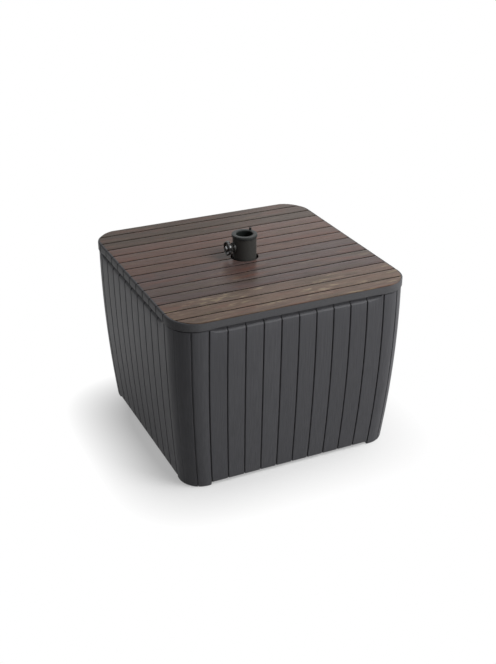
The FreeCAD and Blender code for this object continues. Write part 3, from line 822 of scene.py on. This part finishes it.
def wood_look_polypropylene():
    """Polypropylene moulded with a plank grain and coloured in streaks: brown planks that drift
    between grey, russet and tan, dark pores, a few pale streaks, and darker joints. The lip's rounded
    edge at the front and rear is also painted darker in the joints' tone, as painted shade."""
    made, tree, shader = new_material("wood_look_polypropylene_moulded", Specular_IOR_Level=0.09)
    tone, shift = attribute(tree, "tone"), attribute(tree, "shift")
    ramp = add_node(tree, "ValToRGB", {"Fac": tone})
    stops = ramp.color_ramp.elements
    stops.remove(stops[1])
    stops[0].color = colour(DECK_TONES[0][0])
    for group, (code, _) in enumerate(DECK_TONES[1:], 1):
        stops.new(group / (len(DECK_TONES) - 1)).color = colour(code)
    drift = grain(tree, DRIFT_SIZE, shift)
    streak = grain(tree, STREAK_SIZE, shift, detail=4.0, rough=0.65)
    pore = grain(tree, PORE_SIZE, shift, detail=2.0)
    pale = mapped(tree, grain(tree, PALE_SIZE, shift, rough=0.6), 0.58, 0.7, 0, 1)
    front_planks = mapped(tree, tone, 0.1, 0.3, 0.72, 0.15)
    layers = (
        (mapped(tree, drift, 0.52, 0.68, 0, 0.42), RUSSET),
        (mapped(tree, drift, 0.46, 0.32, 0, 0.5), OLIVE),
        (mapped(tree, streak, 0.5, 0.3, 0, 0.72), DARK_STREAK),
        (mapped(tree, pore, 0.40, 0.28, 0, 0.6), PORE),
        (combined(tree, "MULTIPLY", pale, front_planks), PALE_STREAK),
        # Dark joints, and painted shade on the lip's rounded edge.
        (mapped(tree, attribute(tree, "sunk"), 0.02, 0.25, 0, 1), DECK_JOINT_AND_LIP_SHADE),
    )
    face = ramp.outputs[0]
    for factor, code in layers:
        face = mixed(tree, factor, face, colour(code))
    tree.links.new(face, shader.inputs["Base Color"])
    tree.links.new(mapped(tree, streak, 0.3, 0.7, 0.36, 0.24), shader.inputs["Roughness"])
    bumped(tree, shader, streak, DECK_RELIEF)
    return made


def grained_polypropylene():
    """Graphite polypropylene moulded in a tool with a wood-grain texture: matt satin, faint streaks
    up the planks, tones that differ a little from plank to plank, and joints without streaks."""
    made, tree, shader = new_material("graphite_polypropylene_grained", Specular_IOR_Level=0.115)
    streak = grain(tree, UPRIGHT_SIZE, detail=4.0, rough=0.6)
    face = mixed(tree, attribute(tree, "tone"), *[colour(code) for code in GRAPHITE])
    darker = mapped(tree, streak, 0.35, 0.65, 0.35, 0)
    face = mixed(tree, darker, face, colour(GRAPHITE_STREAK))
    hollow = mapped(tree, attribute(tree, "sunk"), *HOLLOW_RANGE)
    face = mixed(tree, hollow, face, colour(GRAPHITE_JOINT))
    tree.links.new(face, shader.inputs["Base Color"])
    tree.links.new(mapped(tree, streak, 0.3, 0.7, 0.50, 0.38), shader.inputs["Roughness"])
    bumped(tree, shader, streak, BODY_RELIEF)
    return made


def speckled(name, tones, grit, depth, rough, hollow=None, **sockets):
    """A finish with a fine even texture: two close tones and a relief of the same grit, drawn no
    finer than shows. Where a mesh marks hollows they take a darker tone given: dark joints in the
    rim's notches, and painted shade in the collar's bore."""
    made, tree, shader = new_material(name, **sockets)
    texture = grain(tree, (grit, grit, grit))
    light, dark = tones
    face = mixed(tree, mapped(tree, texture, 0.35, 0.65, 0, 1), colour(dark), colour(light))
    if hollow:
        sunk = mapped(tree, attribute(tree, "sunk"), *HOLLOW_RANGE)
        face = mixed(tree, sunk, face, colour(hollow))
    tree.links.new(face, shader.inputs["Base Color"])
    shine = mapped(tree, texture, 0.3, 0.7, rough + 0.06, rough - 0.06)
    tree.links.new(shine, shader.inputs["Roughness"])
    bumped(tree, shader, texture, depth)
    return made


# Printed and grained planks: streaks of tone along X, and a satin skin whose shine breaks up along
# the streaks.
deck_resin = wood_look_polypropylene()

# Wood-grain tool texture: a soft matt graphite with upright streaks that catch the side light.
body_resin = grained_polypropylene()

# The grits below are drawn at 2 to 4 mm, coarser than the real textures of a few tenths, so that
# they show.

# Spark-eroded tool texture: an even grey, nearly without shine, that only lightens on the rounded
# edge.
rim_resin = speckled("graphite_polypropylene_fine_texture", ("#5c5c5e", "#555557"), grit=0.003,
                     depth=0.00004, rough=0.44, hollow="#1c1c1d", Specular_IOR_Level=0.055)

# Baked powder with a slight orange peel: near black, with one broad soft shine down the tube.
powder_coat = speckled("steel_powder_coated_black", ("#3b3b39", "#343432"), grit=0.002,
                       depth=0.00003, rough=0.42, Specular_IOR_Level=0.3)

# Glass fibres dull the moulded skin: a dark satin grey ring, its bore below the ring painted near
# black as painted shade.
nylon = speckled("glass_filled_nylon_moulded", ("#363838", "#2f3131"), grit=0.002, depth=0.00003,
                 rough=0.5, hollow="#151918", Specular_IOR_Level=0.18)

# Bright electroplate: a light metal with slightly clouded reflections.
zinc = speckled("steel_zinc_plated", ("#a3a6a8", "#8b8e90"), grit=0.004, depth=0.00001, rough=0.28,
                Metallic=1.0)

# Pressed in a polished die: deep black with small clear glints on the lobes.
phenolic = speckled("phenolic_moulded_black", ("#161616", "#0f0f0f"), grit=0.002, depth=0.00002,
                    rough=0.3, IOR=1.6)

# Pressed rubber: black and dull, with no clear shine.
rubber = speckled("nitrile_rubber_moulded", ("#141414", "#0e0e0e"), grit=0.002, depth=0.00003,
                  rough=0.75, IOR=1.5)

# Blown against a blasted mould: a waxy mid grey with a soft, uneven sheen.
ballast_resin = speckled("polyethylene_blow_moulded_grey", ("#5b5b59", "#51514f"), grit=0.004,
                         depth=0.00008, rough=0.55, IOR=1.5)


# Pieces

deck_shells, deck_values = deck_shell()
add_piece("plank_deck", deck_shells, "lid", deck_resin, ["tabletop_deck"], deck_values)

rim_made, rim_values = rim_shell()
add_piece("lid_rim", [rim_made], "lid", rim_resin, ["tabletop_frame"], rim_values)

(panel_points, panel_faces), panel_run, panel_sunk = panel_shell()
shelf_points, shelf_faces = shelf_shell()
for quarter, side in enumerate(SIDES):
    tone = plank_values(panel_run[:, 0], 0, 1)[:, None] + 0 * panel_sunk
    shell = turned(panel_points, quarter * QUARTER), panel_faces
    add_piece(side + "_planks", [shell], "base", body_resin, [side + "_panel"],
              {"tone": tone, "sunk": panel_sunk})

# The faint joint is the one nearer to the left or right side.
for quarter, corner in enumerate(CORNERS):
    (post_points, post_faces), post_run, post_sunk = post_shell(faint=2 - quarter % 2)
    values = {"tone": plank_values(post_run.ravel(), 0, 1), "sunk": post_sunk.ravel()}
    on_shelf = np.zeros(len(shelf_points))
    values = {key: np.concatenate([value, on_shelf]) for key, value in values.items()}
    angle = quarter * QUARTER
    shells = [(turned(post_points, angle), post_faces), (turned(shelf_points, angle), shelf_faces)]
    add_piece("post_" + corner, shells, "base", body_resin,
              ["corner_post_" + corner], values)

add_piece("sleeve", [tube_shell()], "sleeve", powder_coat, ["sleeve_tube"])
collar_made, collar_values = collar_shells()
add_piece("collar", collar_made, "sleeve", nylon, ["sleeve_collar"], collar_values)
add_piece("flanged_nut", [nut_shell()], "sleeve", powder_coat, ["clamp_nut"])
add_piece("threaded_screw", [screw_shell()], "screw", zinc, ["clamp_screw"])
add_piece("handwheel", knob_shells(), "screw", phenolic, ["clamp_knob"])
add_piece("hub_cap", [cap_shell()], "screw", zinc, ["knob_cap"])

# Inner pieces, which show the CAD itself
finishes = {
    rim_resin: ["lid_locators", "base_floor"],
    powder_coat: ["socket_tube", "socket_flange"],
    rubber: ["clamp_pad"],
    zinc: ["deck_screws", "floor_screws", "panel_screws", "flange_bolts", "flange_nuts"],
    ballast_resin: ["ballast_block_" + corner for corner in CORNERS],
}
for finish, nodes in finishes.items():
    for node in nodes:
        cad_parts[node].data.materials.clear()
        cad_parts[node].data.materials.append(finish)


# Stage

AMBIENT = 0.14
WHITE = (1, 1, 1, 1)
FLOOR_HALF = 12.0
FLOOR_TONE = "#c0c0c0"
FLOOR_LIFT = 0.36

# The floor's shade: its middle, its stretch along X, Y and Z, where it starts to fade, and where it
# has faded for reflections and for the camera
SHADE_MIDDLE = (-0.0195, -0.0396, 0)
SHADE_STRETCH = (0.914, 1, 1)
FADE_START = 0.239
FADE_END_REFLECTED = 0.6
FADE_END_SEEN = 0.369

# Name, place, side and power in watts of each lamp
LAMPS = (
    ("key_over_right", (0.9, -0.6, 1.6), 1.3, 13),
    ("front_right", (1.5, -1.9, 2.2), 1.4, 60),
    ("rear_right", (1.6, 2.2, 1.4), 1.2, 3.0),
)


def seen_directly(tree):
    """One for rays from the camera, from glossy surfaces and through clear ones, and zero for
    diffuse light."""
    path = add_node(tree, "LightPath").outputs
    either = combined(tree, "MAXIMUM", path["Is Camera Ray"], path["Is Glossy Ray"])
    return combined(tree, "MAXIMUM", either, path["Is Transmission Ray"])


def white_world():
    """Even white surroundings, plain white where seen and softer as light."""
    world = bpy.data.worlds.new("white_studio")
    bpy.context.scene.world = world
    world.use_nodes = True
    tree = world.node_tree
    background = tree.nodes["Background"]
    background.inputs["Color"].default_value = WHITE
    strength = mapped(tree, seen_directly(tree), 0, 1, AMBIENT, 1.0)
    tree.links.new(strength, background.inputs["Strength"])


def white_floor():
    """Pale floor that keeps the shadow near the table and fades into the white surroundings with the
    distance from the middle, taken as the fourth root of the sum of fourth powers, which follows the
    square foot."""
    made = bpy.data.materials.new("white_paper_floor")
    made.use_nodes = True
    tree = made.node_tree
    tree.nodes.remove(tree.nodes["Principled BSDF"])
    place = add_node(tree, "TexCoord").outputs["Object"]
    place = combined_vector(tree, "SUBTRACT", place, SHADE_MIDDLE)
    place = combined_vector(tree, "MULTIPLY", place, SHADE_STRETCH)
    squares = combined_vector(tree, "MULTIPLY", place, place)
    length = add_node(tree, "VectorMath", {0: squares}, operation="LENGTH").outputs["Value"]
    away = add_node(tree, "Math", {0: length}, operation="SQRT").outputs[0]
    seen = seen_directly(tree)
    paper = add_node(tree, "BsdfDiffuse", {"Color": colour(FLOOR_TONE)})
    lift = add_node(tree, "Emission", {"Strength": mapped(tree, seen, 0, 1, 0, FLOOR_LIFT)})
    near = add_node(tree, "AddShader", {0: paper.outputs[0], 1: lift.outputs[0]})
    far = add_node(tree, "Emission", {"Color": WHITE, "Strength": 1.0})
    camera_ray = add_node(tree, "LightPath").outputs["Is Camera Ray"]
    white_from = mapped(tree, camera_ray, 0, 1, FADE_END_REFLECTED, FADE_END_SEEN)
    fade = combined(tree, "MULTIPLY", mapped(tree, away, FADE_START, white_from, 0, 1), seen)
    both = add_node(tree, "MixShader", {0: fade, 1: near.outputs[0], 2: far.outputs[0]})
    tree.links.new(both.outputs[0], tree.nodes["Material Output"].inputs["Surface"])
    side = FLOOR_HALF * np.array([-1, 1])
    x, y = np.meshgrid(side, side, indexing="ij")
    points, faces = skin(np.stack([x, y, 0 * x], axis=-1), closed_profile=False)
    mesh = bpy.data.meshes.new("floor")
    mesh.from_pydata(points, [], faces)
    mesh.materials.append(made)
    floor = bpy.data.objects.new("floor", mesh)
    bpy.context.scene.collection.objects.link(floor)


def softbox(name, place, size, power):
    """Square area lamp that faces the middle of the table."""
    lamp = bpy.data.lights.new(name, "AREA")
    lamp.shape = "SQUARE"
    lamp.size = size
    lamp.energy = power
    made = bpy.data.objects.new(name, lamp)
    made.location = place
    aim = Vector((0, 0, BODY_TOP / 2)) - made.location
    made.rotation_euler = aim.to_track_quat("-Z", "Y").to_euler()
    bpy.context.scene.collection.objects.link(made)


white_world()
white_floor()
for lamp in LAMPS:
    softbox(*lamp)

# Camera, from the photograph's perspective
CAMERA_AZIMUTH = np.radians(-24.897)
CAMERA_ELEVATION = np.radians(26.802)
CAMERA_PLACE = (-0.9695, -2.1084, 1.3979)
FOCAL_PIXELS = 1070.4
FRAME_LONG_SIDE = 664
SENSOR_WIDTH = 36

camera = bpy.data.objects.new("camera", bpy.data.cameras.new("camera"))
camera.data.sensor_width = SENSOR_WIDTH
camera.data.lens = SENSOR_WIDTH * FOCAL_PIXELS / FRAME_LONG_SIDE
camera.location = CAMERA_PLACE
camera.rotation_euler = (QUARTER - CAMERA_ELEVATION, 0, CAMERA_AZIMUTH)
bpy.context.scene.collection.objects.link(camera)
bpy.context.scene.camera = camera
bpy.context.scene.view_settings.view_transform = "Standard"
